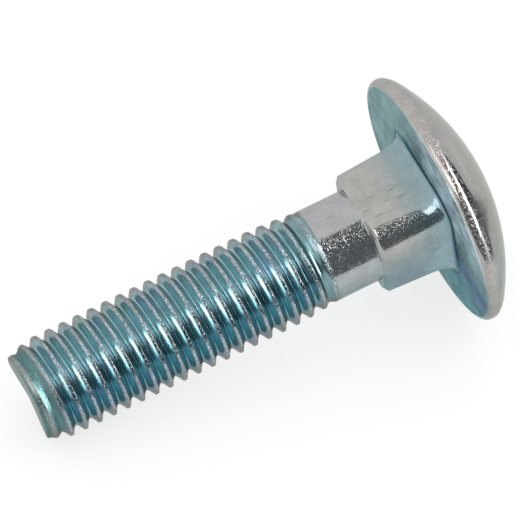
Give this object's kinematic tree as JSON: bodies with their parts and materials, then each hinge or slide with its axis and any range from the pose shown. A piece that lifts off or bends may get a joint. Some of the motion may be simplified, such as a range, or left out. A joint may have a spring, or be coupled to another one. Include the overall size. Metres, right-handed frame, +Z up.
{
  "type": "carriage bolt",
  "caption": "Carriage bolt with a mushroom head, a forged square neck, a plain shank and a coarse rolled thread, lying on its side.",
  "frame": {"origin": "on the surface that the bolt lies on, under the middle of its overall box", "axes": "+Z up from that surface; +X from the thread end towards the head, with the bolt's own axis rising 10.62 degrees towards the head; +Y completes a right-handed frame"},
  "size_m": [0.0568, 0.0294, 0.0291],
  "materials": {
    "zinc_plate": "bright zinc plate with a blue passivate, satin to glossy, finely mottled"
  },
  "bodies": {
    "root": {"carriage_bolt": "zinc_plate"}
  },
  "joints": []
}
